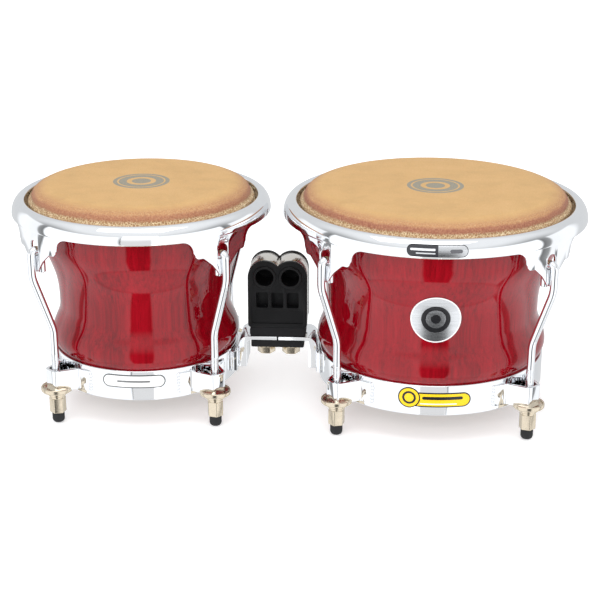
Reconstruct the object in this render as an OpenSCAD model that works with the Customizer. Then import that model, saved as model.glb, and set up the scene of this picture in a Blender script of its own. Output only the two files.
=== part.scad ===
// A pair of bongo drums: two hooped wooden shells with wrapped skins, side-tuned by hooks,
// joined by a bracket. Millimetres, +Z up, X across the pair, the player's side at -Y.
// The origin is on the floor under the middle of the whole pair.

/* [Pair] */
// Distance between the two drums' axes
axis_gap = 232; // [226:1:250]

/* [Small drum] */
// Outer radius of the small drum's rim
small_rim_r = 102.5; // [98:0.5:108]
// Outer radius of the small drum's bottom hoop
small_hoop_r = 74.5; // [72:0.5:77]

/* [Large drum] */
// Outer radius of the large drum's rim
large_rim_r = 119.3; // [114:0.1:124]
// Outer radius of the large drum's bottom hoop
large_hoop_r = 90.3; // [88:0.1:92]

/* [Heights] */
// Height of the playing skin's top above the floor
head_z = 181.2; // [181:0.1:184]
// Height of the rim's rounded top edge
rim_top_z = 172; // [171:0.5:173]
// Height of the straight edge of the rim between two ears
cut_z = 158.8; // [157:0.1:160]
// Height of the ears' rounded lower tips
ear_tip_z = 128; // [126:0.5:130]
// Height of the shell's narrowest ring
waist_z = 84; // [80:1:90]
// Height of the shell's belly just above the bottom hoop
belly_z = 59; // [57:0.5:61]
// Top edge of the bottom hoop
hoop_top_z = 48.9; // [48:0.1:50]
// Bottom edge of the bottom hoop
hoop_bottom_z = 24.4; // [24:0.1:26]

/* [Hardware] */
// Diameter of the tuning hooks' rod
rod_d = 6; // [5.6:0.1:6.4]
// Width of a tuning nut across its flats
nut_af = 11.5; // [11:0.1:12.5]
// Diameter of a rubber foot
foot_d = 9.7; // [9.4:0.1:11]
// Diameter of a cup washer
washer_d = 24.6; // [23:0.2:25]
// Reach of a lug loop: from the hoop's face to the rod's axis
lug_reach = 14; // [13.5:0.1:15]

/* [Bracket] */
// Distance from the small drum's axis to the middle of the bracket block
block_offset = 108.6; // [108:0.1:109.4]
// Radius of each lobe on top of the block
lobe_r = 13.5; // [13:0.5:14]
// Distance between the block's two round holes
bore_gap = 20.5; // [20:0.5:21]
// Diameter of the block's two round holes
bore_d = 14.2; // [10:0.2:15]
// Depth of the block, front to back
block_depth = 30; // [28:1:34]

/* [Hidden] */
$fn = 96;
bump = 0.01;

small_x = (small_rim_r - axis_gap - large_rim_r) / 2;
large_x = small_x + axis_gap;
block_x = small_x + block_offset;

// One list per drum: where its axis stands, its rim's radius and its hoop's radius
SMALL = [small_x, small_rim_r, small_hoop_r];
LARGE = [large_x, large_rim_r, large_hoop_r];
function axis_x(d) = d[0];
function rim_r(d) = d[1];
function hoop_r(d) = d[2];

// Rim: sheet thickness, depth of its rounded top and the skirt's outer radius
rim_t = 2.2;
roll_w = 8.2;
roll_h = 12;
lip_w = 2.6;
lip_bottom_z = 162.2;
function skirt_r(d) = rim_r(d) - 1.2;

// Head: wrapped collar, skin and shell top, from the outside in
head_inset = 13.2;
collar_t = 1.9;
skin_t = 1.5;
fit_gap = 0.4;
function head_r(d) = rim_r(d) - head_inset;
function skin_r(d) = head_r(d) - collar_t - fit_gap;
function shell_top_r(d) = skin_r(d) - skin_t - 0.1;

// Shell: wall, bearing edge and the swell at waist and belly
wall_t = 9;
bearing_inset = 11.5;
shell_bottom_z = 26;
// The flare ends in a nearly straight collar, which opens to the top under the rim
collar_z = 142;
collar_drop = 5;
collar_slope = 0.12;
flare_top_z = 158;
bevel_z = 169.6;
shell_top_z = head_z - skin_t - 0.7;
hoop_t = 2.2;
seat_gap = 0.05;
function seat_r(d) = hoop_r(d) - hoop_t - seat_gap;
function belly_r(d) = hoop_r(d) + 1.2;
function waist_r(d) = hoop_r(d) - 5.8;
function collar_r(d) = shell_top_r(d) - collar_drop;
function ease(t) = (1 - cos(180 * t)) / 2;
function mix(a, b, t) = a + (b - a) * t;

// Outer radius of a shell at height z, from the hoop up to its straight top
function shell_r(d, z) =
    z <= hoop_top_z ? seat_r(d)
    : z <= belly_z ? mix(seat_r(d), belly_r(d), sin(90 * (z - hoop_top_z) / (belly_z - hoop_top_z)))
    : z <= waist_z ? mix(belly_r(d), waist_r(d), ease((z - belly_z) / (waist_z - belly_z)))
    : z <= collar_z ? mix(waist_r(d), collar_r(d), ease(pow((z - waist_z) / (collar_z - waist_z), 1.5)))
    : collar_r(d) + collar_slope * (z - collar_z);
shell_step = 3;
shell_zs = [for (z = [hoop_top_z : shell_step : flare_top_z]) z];

// Ears and their slots, one at each corner of a square
ear_half_w = 34.5;
ear_corner_r = 9;
shoulder_z = 144.5;
slot_w = 9.4;
slot_top_z = 153;
slot_bottom_z = 141.6;

// Hooks: bend radius over the ear, and the two heights where the rod leans out
rod_r = rod_d / 2;
hook_bend_r = 4.5;
hook_leg = 14;
lean_low_z = 78;
lean_high_z = 124;
elbow_r = 12;
elbow_lap = 0.15;
rod_bottom_z = 2.5;
function foot_r(d) = hoop_r(d) + lug_reach;
function hook_r(d) = skirt_r(d) - rim_t / 2 + hook_bend_r;
hook_bend_z = slot_bottom_z - sqrt(pow(hook_bend_r - rod_r - 0.02, 2) - pow(rim_t / 2, 2)) + 0.05;

// Lug loops, washers, nuts and feet, from the top down
lug_t = 2.5;
lug_top_z = 45.1;
lug_bottom_z = 28.6;
lug_nose_w = 13;
lug_base_w = 25;
tab_w = 44;
tab_t = 1.6;
washer_bottom_z = 23.2;
nut_top_z = 23;
nut_bottom_z = 8.8;
foot_top_z = 8.4;
function lug_angle(i) = 135 + 90 * i;
function lug_nose_r(d) = foot_r(d) + rod_r + 3.2;

// Bracket heights and widths
bore_z = 107.5;
block_bottom_z = 65;
plate_t = 3;
strap_t = 1.6;
strap_w = 21;
pad_bottom_z = 57.4;
arm_top_z = 57.3;
arm_bottom_z = 54.4;
clamp_bottom_z = 48;
tab_bottom_z = 31;
clip_bottom_z = 29.5;
clip_top_z = 46.5;
tab_face_x = 31.6;
tab_thick = 6.8;
arm_w = 32;
screw_y = 9;
screw_z = 38.6;
screw_d = 5;
bolt_gap = 20.2;
bolt_d = 8;
bolt_top_z = 78;
block_w = bore_gap + 2 * lobe_r;

DRUMS = ["small", "large"];

module at_drum(d) {
    translate([axis_x(d), 0, 0]) children();
}

module at_lug(d, i) {
    at_drum(d) rotate([0, 0, lug_angle(i)]) children();
}

// A plan or section drawn in Y and Z, pushed out along X from x0 to x1
module radial_prism(x0, x1) {
    translate([x0, 0, 0]) rotate([90, 0, 90]) linear_extrude(x1 - x0) children();
}

// A section drawn in X and Z, centred on Y
module cross_prism(w) {
    translate([0, w / 2, 0]) rotate([90, 0, 0]) linear_extrude(w) children();
}

module pill(w, h) {
    for (s = [-1, 1]) translate([s * (w - h) / 2, 0]) circle(d = h);
    square([w - h, h], center = true);
}

// The two holes that let a drum's bracket screws out towards the block
module screw_holes(d, side, hole_d, x0, x1) {
    at_drum(d) for (s = [-1, 1]) translate([side > 0 ? x0 : -x1, s * screw_y, screw_z])
        rotate([0, 90, 0]) cylinder(h = x1 - x0, d = hole_d);
}

// Wooden shell: waisted outside, plain wall inside, bevelled bearing edge on top
module shell(d, side) {
    outside = [for (z = shell_zs) [shell_r(d, z), z]];
    inside = [for (i = [len(shell_zs) - 1 : -4 : 0]) [shell_r(d, shell_zs[i]) - wall_t, shell_zs[i]]];
    bearing_r = shell_top_r(d) - bearing_inset;
    color("firebrick") difference() {
        at_drum(d) rotate_extrude() polygon(concat(
            [[seat_r(d) - wall_t, shell_bottom_z], [seat_r(d), shell_bottom_z]],
            outside,
            [[shell_r(d, flare_top_z), flare_top_z], [shell_top_r(d), bevel_z - 5], [shell_top_r(d), bevel_z], [bearing_r + 2.4, shell_top_z - 0.6]],
            [[bearing_r + 0.6, shell_top_z], [bearing_r - 0.6, shell_top_z - 0.6], [bearing_r - 1, bevel_z - 6]],
            inside
        ));
        screw_holes(d, side, screw_d + 0.4, hoop_r(d) - 25, hoop_r(d) + 10);
    }
}

// Pressed-steel bottom hoop with four lug loops welded round the rods
module hoop(d, side) {
    color("gainsboro") difference() {
        at_drum(d) {
            difference() {
                translate([0, 0, hoop_bottom_z]) cylinder(h = hoop_top_z - hoop_bottom_z, r = hoop_r(d));
                translate([0, 0, hoop_bottom_z - 1]) cylinder(h = hoop_top_z - hoop_bottom_z + 2, r = hoop_r(d) - hoop_t);
            }
            for (i = [1 : 4]) rotate([0, 0, lug_angle(i)]) lug_loop(d);
        }
        screw_holes(d, side, screw_d + 0.4, hoop_r(d) - 25, hoop_r(d) + 10);
    }
}

module lug_plan(d, inset) {
    base_x = hoop_r(d) - 8;
    nose_x = lug_nose_r(d) - inset;
    nose = lug_nose_w / 2 - inset;
    base = lug_base_w / 2 - inset;
    bend = 2.5;
    polygon([
        [base_x, -base], [hoop_r(d), -base], [nose_x - bend, -nose], [nose_x, -nose + bend],
        [nose_x, nose - bend], [nose_x - bend, nose], [hoop_r(d), base], [base_x, base]
    ]);
}

module lug_loop(d) {
    lug_h = lug_top_z - lug_bottom_z;
    difference() {
        translate([0, 0, lug_bottom_z]) linear_extrude(lug_h) difference() {
            lug_plan(d, 0);
            lug_plan(d, lug_t);
        }
        translate([0, 0, lug_bottom_z - 1]) cylinder(h = lug_h + 2, r = hoop_r(d) - hoop_t / 2);
    }
    for (s = [-1, 1]) intersection() {
        difference() {
            translate([0, 0, lug_bottom_z]) cylinder(h = lug_h, r = hoop_r(d) + tab_t);
            translate([0, 0, lug_bottom_z - 1]) cylinder(h = lug_h + 2, r = hoop_r(d) - hoop_t / 2);
        }
        y0 = lug_base_w / 2 - lug_t;
        y1 = tab_w / 2;
        translate([hoop_r(d) / 2, s > 0 ? y0 : -y1, 0]) cube([hoop_r(d), y1 - y0, hoop_top_z]);
    }
}

// Rolled and pressed rim with a slotted ear at each hook
module rim(d) {
    color("gainsboro") at_drum(d) difference() {
        intersection() {
            rotate_extrude() rim_section(d);
            union() {
                translate([0, 0, cut_z]) cylinder(h = 20, r = rim_r(d) + 5);
                for (i = [1 : 4]) rotate([0, 0, lug_angle(i)]) radial_prism(rim_r(d) / 2, rim_r(d) + 5) ear_outline();
            }
        }
        for (i = [1 : 4]) rotate([0, 0, lug_angle(i)]) radial_prism(rim_r(d) - 20, rim_r(d) + 5) slot_outline();
    }
}

module rim_section(d) {
    roll_x = rim_r(d) - roll_w;
    roll_z = rim_top_z - roll_h;
    inner_w = roll_w - rim_t;
    inner_h = roll_h - rim_t;
    lip_x = roll_x - lip_w;
    skirt_in = skirt_r(d) - rim_t;
    polygon(concat(
        [[skirt_in, ear_tip_z], [skirt_r(d), ear_tip_z], [skirt_r(d), roll_z - 3]],
        [for (a = [0 : 6 : 90]) [roll_x + roll_w * cos(a), roll_z + roll_h * sin(a)]],
        [for (a = [30 : 30 : 90]) [roll_x - lip_w * sin(a), rim_top_z - lip_w * (1 - cos(a))]],
        [[lip_x, lip_bottom_z], [lip_x + rim_t, lip_bottom_z], [lip_x + rim_t, rim_top_z - lip_w]],
        [for (a = [90 : -10 : 10]) [roll_x + inner_w * cos(a), roll_z + inner_h * sin(a)]],
        [[skirt_in, roll_z - 1]]
    ));
}

function arc(cx, cz, r, a0, a1, n) = [
    for (i = [0 : n]) [cx + r * cos(mix(a0, a1, i / n)), cz + r * sin(mix(a0, a1, i / n))]
];

// An ear's edge: hollow corners under the straight cut, round shoulders, and a tapering tongue
module ear_outline() {
    side_x = ear_half_w - ear_corner_r;
    tongue_x = 18.5;
    tip_r = 4.8;
    half = concat(
        [[ear_half_w, cut_z + 4]],
        arc(ear_half_w, cut_z - ear_corner_r, ear_corner_r, 90, 180, 9),
        arc(side_x - 4.5, shoulder_z + 3, 3, 0, -90, 5),
        arc(tongue_x, shoulder_z - 3, 3, 90, 132, 3),
        [[9.6, 137.8]],
        arc(0, ear_tip_z + tip_r, tip_r, -15, -90, 5)
    );
    polygon(concat(half, [for (i = [len(half) - 2 : -1 : 0]) [-half[i][0], half[i][1]]]));
}

module slot_outline() {
    slot_r = slot_w / 2;
    translate([0, slot_top_z - slot_r]) circle(r = slot_r);
    translate([-slot_r, slot_bottom_z]) square([slot_w, slot_top_z - slot_r - slot_bottom_z]);
}

// Skin: flat playing face, rounded shoulder and a straight tuck outside the shell
module skin(d) {
    out_r = skin_r(d);
    in_r = out_r - skin_t;
    color("burlywood") at_drum(d) rotate_extrude() polygon([
        [0, head_z - skin_t], [out_r - 17, head_z - skin_t], [out_r - 13.2, head_z - 1.9], [out_r - 9.2, head_z - 2.8],
        [out_r - 5.6, head_z - 4.3], [out_r - 3.1, head_z - 6.4], [out_r - 2, head_z - 8.4], [in_r, head_z - 10.2], [in_r, 158],
        [out_r, 158], [out_r, head_z - 10], [out_r - 0.5, head_z - 7.6], [out_r - 1.8, head_z - 5.3], [out_r - 4.6, head_z - 3],
        [out_r - 8.6, head_z - 1.3], [out_r - 13.1, head_z - 0.4], [out_r - 17, head_z], [0, head_z]
    ]);
}

// Steel flesh hoop wrapped in the skin's edge, with the rolled edge standing up round the head
module flesh_hoop(d) {
    in_r = head_r(d) - collar_t;
    color("tan") at_drum(d) rotate_extrude() polygon([
        [in_r, 157.8], [in_r + 1, 156.8], [in_r + 7.4, 156.8], [in_r + 8.4, 157.8], [in_r + 8.4, lip_bottom_z - 0.6],
        [in_r + 7.9, lip_bottom_z - 0.1], [head_r(d), lip_bottom_z - 0.1], [head_r(d), 168], [head_r(d) - 0.6, 168.7],
        [in_r + 0.5, 168.7], [in_r, 168.2]
    ]);
}

// Tuning hook: threaded foot, a lean outwards, and a bend over the ear's lower bar
module hook(d, i) {
    color("silver") at_lug(d, i) hook_rod(d);
}

// A straight run of the rod, let a little way into the elbow at either end
module rod_run(x0, z0, x1, z1) {
    run = norm([x1 - x0, z1 - z0]);
    translate([x0, 0, z0]) rotate([0, atan2(x1 - x0, z1 - z0), 0])
        translate([0, 0, -elbow_lap]) cylinder(h = run + 2 * elbow_lap, r = rod_r);
}

// An elbow of the rod about the point (cx, cz), over the given angles from +X
module rod_elbow(cx, cz, bend_r, a0, sweep) {
    translate([cx, 0, cz]) rotate([90, 0, 0]) rotate([0, 0, a0])
        rotate_extrude(angle = sweep) translate([bend_r, 0]) circle(r = rod_r + 0.02);
}

module hook_rod(d) {
    x0 = foot_r(d);
    x1 = hook_r(d);
    lean = atan2(x1 - x0, lean_high_z - lean_low_z);
    cut = elbow_r * tan(lean / 2);
    low = [x0 + elbow_r, lean_low_z - cut];
    high = [x1 - elbow_r, lean_high_z + cut];
    rod_run(x0, rod_bottom_z + elbow_lap, x0, low[1]);
    rod_elbow(low[0], low[1], elbow_r, 180 - lean, lean);
    rod_run(low[0] - elbow_r * cos(lean), low[1] + elbow_r * sin(lean),
        high[0] + elbow_r * cos(lean), high[1] - elbow_r * sin(lean));
    rod_elbow(high[0], high[1], elbow_r, -lean, lean);
    rod_run(x1, high[1], x1, hook_bend_z);
    rod_elbow(x1 - hook_bend_r, hook_bend_z, hook_bend_r, 0, 180);
    rod_run(x1 - 2 * hook_bend_r, hook_bend_z - hook_leg, x1 - 2 * hook_bend_r, hook_bend_z);
}

// Cup washer: a dish that holds the lug loop's lower edge, bored clear of the rod
module washer(d, i) {
    r = washer_d / 2;
    z0 = washer_bottom_z;
    floor_z = lug_bottom_z - 0.05;
    color("wheat") at_lug(d, i) difference() {
        translate([foot_r(d), 0, 0]) rotate_extrude() polygon([
            [rod_r + 0.6, z0], [6.6, z0], [7.4, z0 + 0.8], [7.4, z0 + 1.6], [r - 1, floor_z - 0.6],
            [r, floor_z + 0.9], [r - 0.4, floor_z + 2], [r - 1.3, floor_z + 2.1], [r - 2.4, floor_z],
            [rod_r + 0.6, floor_z]
        ]);
        translate([0, 0, floor_z]) linear_extrude(9) difference() {
            lug_plan(d, -0.2);
            lug_plan(d, lug_t + 0.2);
        }
        translate([0, 0, hoop_bottom_z - 2]) cylinder(h = 20, r = hoop_r(d) + 0.3);
    }
}

// Tuning nut: a long hexagon, chamfered at both ends, with a running bore for the rod
module nut(d, i) {
    corner_r = nut_af / 2 / cos(30);
    nut_h = nut_top_z - nut_bottom_z;
    color("wheat") at_lug(d, i) translate([foot_r(d), 0, 0]) difference() {
        intersection() {
            translate([0, 0, nut_bottom_z]) cylinder(h = nut_h, r = corner_r, $fn = 6);
            rotate_extrude() polygon([
                [0, nut_bottom_z], [corner_r - 1.8, nut_bottom_z], [corner_r - 0.7, nut_bottom_z + 1.1],
                [corner_r + 0.1, nut_bottom_z + 2.4], [corner_r + 0.1, nut_top_z - 0.8],
                [corner_r - 0.5, nut_top_z], [0, nut_top_z]
            ]);
        }
        translate([0, 0, nut_bottom_z - 1]) cylinder(h = nut_h + 2, r = rod_r + 0.05);
    }
}

// Rubber tip pressed over the rod's end, with a small flat to stand on
module foot(d, i) {
    r = foot_d / 2;
    color("dimgray") at_lug(d, i) translate([foot_r(d), 0, 0]) rotate_extrude() polygon(concat(
        [[0, rod_bottom_z], [0, 0], [2.6, 0]],
        [for (a = [-60 : 15 : 0]) [2.6 + (r - 2.6) * cos(a), 3.4 + 3.4 * sin(a)]],
        [[r, foot_top_z - 0.4], [r - 0.4, foot_top_z], [rod_r, foot_top_z], [rod_r, rod_bottom_z]]
    ));
}

// The block's face: two lobes above straight sides
module block_face(inset) {
    for (s = [-1, 1]) translate([s * bore_gap / 2, bore_z]) circle(r = lobe_r - inset);
    translate([-block_w / 2 + inset, block_bottom_z]) square([block_w - 2 * inset, bore_z - block_bottom_z]);
}

module block() {
    core_w = block_depth - 2 * plate_t;
    window_w = 9.6;
    window_h = 13;
    color([0.13, 0.13, 0.14]) translate([block_x, 0, 0]) difference() {
        union() {
            cross_prism(core_w + 2) block_face(strap_t + 0.4);
            for (s = [-1, 1]) translate([0, s * (block_depth - plate_t) / 2, 0]) cross_prism(plate_t) block_face(0);
        }
        for (s = [-1, 1]) translate([s * bore_gap / 2, 0, 0]) cross_prism(block_depth + 2) translate([0, bore_z]) circle(d = bore_d);
        for (f = [-1, 1], k = [-1 : 1]) translate([k * (window_w + 2.6), f * (block_depth / 2 - 3.9), 88.3])
            cube([window_w, 8, window_h], center = true);
        for (f = [-1, 1]) translate([0, f * (block_depth / 2 + 0.2), 74.1]) cube([41.6, 2, 11.4], center = true);
        for (s = [-1, 1]) translate([s * bolt_gap / 2, 0, block_bottom_z - 1]) {
            cylinder(h = bolt_top_z - block_bottom_z + 3, d = bolt_d + 0.4);
            translate([0, 0, 5.9]) cube([13.2, 13.2, 10.4], center = true);
        }
    }
}

// Plated steel strap over both lobes and down the block's sides
module block_strap() {
    color("lightgray") translate([block_x, 0, 0]) cross_prism(strap_w) difference() {
        block_face(0.3);
        block_face(strap_t + 0.35);
        translate([-block_w, block_bottom_z - 1]) square([2 * block_w, 2]);
    }
}

module block_pad() {
    color([0.12, 0.12, 0.13]) translate([block_x, 0, 0]) difference() {
        cross_prism(block_depth) polygon([
            [-20, pad_bottom_z], [20, pad_bottom_z], [22.4, pad_bottom_z + 2.4], [22.4, block_bottom_z - 0.9],
            [21, block_bottom_z - 0.1], [-21, block_bottom_z - 0.1], [-22.4, block_bottom_z - 0.9],
            [-22.4, pad_bottom_z + 2.4]
        ]);
        bolt_holes();
    }
}

module bolt_holes() {
    for (s = [-1, 1]) translate([s * bolt_gap / 2, 0, clamp_bottom_z - 1])
        cylinder(h = bolt_top_z - clamp_bottom_z, d = bolt_d + 0.4);
}

module clamp_plate() {
    color([0.1, 0.1, 0.11]) translate([block_x, 0, 0]) difference() {
        cross_prism(block_depth) polygon([
            [-20.4, clamp_bottom_z], [20.4, clamp_bottom_z], [21.4, clamp_bottom_z + 1],
            [21.4, arm_bottom_z - 1.3], [20.2, arm_bottom_z - 0.1], [-20.2, arm_bottom_z - 0.1],
            [-21.4, arm_bottom_z - 1.3], [-21.4, clamp_bottom_z + 1]
        ]);
        bolt_holes();
    }
}

// Bracket arm: flat under the block, rounded over and down to a thick tab on the hoop's clip
module arm_section() {
    turn_r = 7;
    polygon(concat(
        [[0.5, arm_bottom_z], [tab_face_x - tab_thick - 2, arm_bottom_z], [tab_face_x - tab_thick, arm_bottom_z - 2]],
        [[tab_face_x - tab_thick, tab_bottom_z], [tab_face_x, tab_bottom_z]],
        [for (a = [0 : 15 : 90]) [tab_face_x - turn_r + turn_r * cos(a), arm_top_z - turn_r + turn_r * sin(a)]],
        [[0.5, arm_top_z]]
    ));
}

module arm(side) {
    color("gainsboro") translate([block_x, 0, 0]) mirror([side < 0 ? 1 : 0, 0, 0]) difference() {
        cross_prism(arm_w) arm_section();
        translate([bolt_gap / 2, 0, arm_bottom_z - 1]) cylinder(h = 6, d = bolt_d + 0.4);
        for (s = [-1, 1]) translate([tab_face_x - 5.4, s * screw_y, screw_z]) rotate([0, 90, 0]) cylinder(h = 6, d = screw_d + 0.1);
    }
}

// Ribbed clip that hugs the hoop and carries the arm's tab; drawn with the block towards +X
module clip(d, side) {
    clip_h = clip_top_z - clip_bottom_z;
    face = abs(block_x - axis_x(d)) - tab_face_x - 0.02;
    color("silver") at_drum(d) mirror([side < 0 ? 1 : 0, 0, 0]) difference() {
        translate([0, 0, clip_bottom_z]) linear_extrude(clip_h) difference() {
            union() {
                intersection() {
                    rotate(180) circle(r = face - 0.2, $fn = 288);
                    translate([face - 8, -23]) square([20, 46]);
                }
                for (s = [-1, 1]) rotate(s * asin(19.5 / face)) translate([face - 2, -1.5]) square([4.4, 3]);
                translate([face - 3, -13]) square([3, 26]);
            }
            rotate(180) circle(r = hoop_r(d) + 0.02, $fn = 288);
        }
        for (s = [-1, 1]) translate([face - 10, s * screw_y, screw_z]) rotate([0, 90, 0]) cylinder(h = 12, d = screw_d + 0.4);
    }
}

// Two cap screws from inside the shell, through hoop and clip, into the arm's tab
module screws(d, side) {
    wall_x = sqrt(pow(seat_r(d) - wall_t, 2) - pow(screw_y + 4.5, 2)) - 0.1;
    tip_x = abs(block_x - axis_x(d)) - tab_face_x + 5.2;
    color("silver") at_drum(d) mirror([side < 0 ? 1 : 0, 0, 0]) for (s = [-1, 1])
        translate([wall_x - 4, s * screw_y, screw_z]) rotate([0, 90, 0]) {
            difference() {
                cylinder(h = 4, d = 8.6);
                translate([0, 0, -1]) cylinder(h = 3.4, d = 4 / cos(30), $fn = 6);
            }
            translate([0, 0, 3]) cylinder(h = tip_x - wall_x + 1, d = screw_d);
        }
}

module clamp_bolts() {
    head_z0 = 38.6;
    color("wheat") for (s = [-1, 1]) translate([block_x + s * bolt_gap / 2, 0, 0]) {
        intersection() {
            translate([0, 0, head_z0]) cylinder(h = 6.2, d = 13 / cos(30), $fn = 6);
            rotate_extrude() polygon([[0, head_z0], [6.2, head_z0], [7.6, head_z0 + 1], [7.6, head_z0 + 7], [0, head_z0 + 7]]);
        }
        translate([0, 0, head_z0 + 6.2]) cylinder(h = clamp_bottom_z - head_z0 - 6.2, d = 15.2);
        translate([0, 0, head_z0 + 1]) cylinder(h = bolt_top_z - head_z0 - 1, d = bolt_d);
    }
}

module clamp_nuts() {
    color("silver") for (s = [-1, 1]) translate([block_x + s * bolt_gap / 2, 0, 72]) difference() {
        translate([-6.5, -6.5, -2.6]) cube([13, 13, 5]);
        translate([0, 0, -5]) cylinder(h = 10, d = bolt_d);
    }
}

// A thin skin laid on a drum's front: a ring of the given section, kept where the outline covers it
module front_patch(d) {
    intersection() {
        at_drum(d) rotate_extrude() children(0);
        translate([axis_x(d), 0, 0]) rotate([90, 0, 0]) linear_extrude(rim_r(d) + 10) children(1);
    }
}

module shell_badge() {
    badge_z = 101.3;
    zs = [for (z = [badge_z - 22 : shell_step : badge_z + 22]) z];
    color("silver") front_patch(LARGE) {
        polygon(concat([for (z = zs) [shell_r(LARGE, z) + 0.7, z]],
            [for (i = [len(zs) - 1 : -1 : 0]) [shell_r(LARGE, zs[i]) + 0.1, zs[i]]]));
        translate([0, badge_z]) circle(d = 38);
    }
}

module rim_badge() {
    roll_x = rim_r(LARGE) - roll_w;
    roll_z = rim_top_z - roll_h;
    color("silver") front_patch(LARGE) {
        polygon(concat(
            [for (a = [0 : 6 : 66]) [roll_x + (roll_w + 0.3) * cos(a), roll_z + (roll_h + 0.3) * sin(a)]],
            [for (a = [66 : -6 : 0]) [roll_x + (roll_w + 0.02) * cos(a), roll_z + (roll_h + 0.02) * sin(a)]]
        ));
        translate([-2, 165]) pill(44, 8.6);
    }
}

module hoop_band(d) {
    translate([hoop_r(d) + 0.02, hoop_bottom_z + 2]) square([0.5, hoop_top_z - hoop_bottom_z - 3]);
}

module large_hoop_label() {
    color("gold") front_patch(LARGE) {
        hoop_band(LARGE);
        union() {
            translate([1, 37.4]) pill(55, 11.6);
            translate([-18.4, 38.6]) circle(d = 16.6);
        }
    }
}

module small_hoop_label() {
    color("white") front_patch(SMALL) {
        hoop_band(SMALL);
        translate([0.5, 40.4]) pill(49, 10.6);
    }
}

module drum_piece(d, name, side) {
    shell(d, side);
    hoop(d, side);
    rim(d);
    skin(d);
    flesh_hoop(d);
    arm(-side);
    clip(d, side);
    screws(d, side);
    for (i = [1 : 4]) {
        hook(d, i);
        washer(d, i);
        nut(d, i);
        foot(d, i);
    }
}

drum_piece(SMALL, "small", 1);
drum_piece(LARGE, "large", -1);
block();
block_strap();
block_pad();
clamp_plate();
clamp_bolts();
clamp_nuts();
shell_badge();
rim_badge();
large_hoop_label();
small_hoop_label();
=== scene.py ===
from math import atan2, cos, degrees, pi, radians, sin, sqrt, tan

import bmesh
import bpy
from bpy.props import FloatProperty, FloatVectorProperty, PointerProperty
from bpy.types import Operator, Panel, PropertyGroup
from mathutils import Matrix, Vector


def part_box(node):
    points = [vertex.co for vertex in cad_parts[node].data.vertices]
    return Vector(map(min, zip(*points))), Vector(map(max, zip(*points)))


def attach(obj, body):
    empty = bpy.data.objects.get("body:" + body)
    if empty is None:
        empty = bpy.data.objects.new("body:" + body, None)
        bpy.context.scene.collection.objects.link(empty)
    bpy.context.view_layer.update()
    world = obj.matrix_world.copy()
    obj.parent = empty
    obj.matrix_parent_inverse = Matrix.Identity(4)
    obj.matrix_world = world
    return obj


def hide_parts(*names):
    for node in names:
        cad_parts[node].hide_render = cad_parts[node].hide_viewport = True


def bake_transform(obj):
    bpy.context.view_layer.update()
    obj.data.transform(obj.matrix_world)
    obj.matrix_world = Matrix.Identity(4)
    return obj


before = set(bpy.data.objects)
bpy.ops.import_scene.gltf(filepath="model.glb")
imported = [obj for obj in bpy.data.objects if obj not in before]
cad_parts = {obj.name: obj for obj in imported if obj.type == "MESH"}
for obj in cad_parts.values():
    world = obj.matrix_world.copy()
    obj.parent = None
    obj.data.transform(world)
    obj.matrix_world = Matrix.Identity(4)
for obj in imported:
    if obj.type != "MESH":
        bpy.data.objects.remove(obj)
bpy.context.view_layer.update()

bl_info = {
    "name": "Bongo Drums",
    "version": (1, 0, 0),
    "blender": (4, 5, 0),
    "location": "View3D > Sidebar > Bongos",
    "description": "Builds the visible pieces of a pair of bongo drums around their packed CAD parts",
    "category": "Object",
}

MM = 0.001
ROOT = "shells_and_bracket"
DRUM_NAMES = ("small", "large")


# ---------------------------------------------------------------- sizes read from the CAD parts

def node_span(node):
    """Lowest and highest corner of a CAD part, in millimetres."""
    low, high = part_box(node)
    return low / MM, high / MM


def drum_defaults(name):
    rim_low, rim_high = node_span(name + "_rim")
    hoop_low, hoop_high = node_span(name + "_hoop")
    return {
        "axis_x": (rim_low.x + rim_high.x) / 2,
        "rim_r": (rim_high.y - rim_low.y) / 2,
        "hoop_r": (hoop_high.y - hoop_low.y) / 2,
    }


SMALL_DEFAULTS = drum_defaults("small")
LARGE_DEFAULTS = drum_defaults("large")
BLOCK_LOW, BLOCK_HIGH = node_span("block")
BLOCK_X = (BLOCK_LOW.x + BLOCK_HIGH.x) / 2
HEAD_TOP = node_span("small_skin")[1].z
RIM_TOP = node_span("small_rim")[1].z
EAR_TIP = node_span("small_rim")[0].z
HOOP_BOTTOM, HOOP_TOP = node_span("small_hoop")[0].z, node_span("small_hoop")[1].z


def length(name, description, default_mm, least=0.0):
    """A size in the scene's units, its default given in millimetres."""
    return FloatProperty(name=name, description=description, default=default_mm * MM, min=least, precision=5,
                         subtype="DISTANCE", unit="LENGTH")


def colour(name, description, default):
    return FloatVectorProperty(name=name, description=description, default=default, size=3, min=0.0, max=1.0,
                               subtype="COLOR")


class SmallDrumSizes(PropertyGroup):
    axis_x: length("Axis X", "Where the small drum's axis stands", SMALL_DEFAULTS["axis_x"], -1.0)
    rim_r: length("Rim radius", "Outer radius of the small rim", SMALL_DEFAULTS["rim_r"])
    hoop_r: length("Hoop radius", "Outer radius of the small bottom hoop", SMALL_DEFAULTS["hoop_r"])


class LargeDrumSizes(PropertyGroup):
    axis_x: length("Axis X", "Where the large drum's axis stands", LARGE_DEFAULTS["axis_x"], -1.0)
    rim_r: length("Rim radius", "Outer radius of the large rim", LARGE_DEFAULTS["rim_r"])
    hoop_r: length("Hoop radius", "Outer radius of the large bottom hoop", LARGE_DEFAULTS["hoop_r"])


class HardwareSizes(PropertyGroup):
    rod_d: length("Rod diameter", "Diameter of the tuning rods", 6.0)
    nut_af: length("Nut width", "Width of a tuning nut across its flats", 11.5)
    washer_d: length("Washer diameter", "Diameter of a cup washer", 24.6)
    foot_d: length("Foot diameter", "Diameter of a rubber tip", 9.7)


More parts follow.
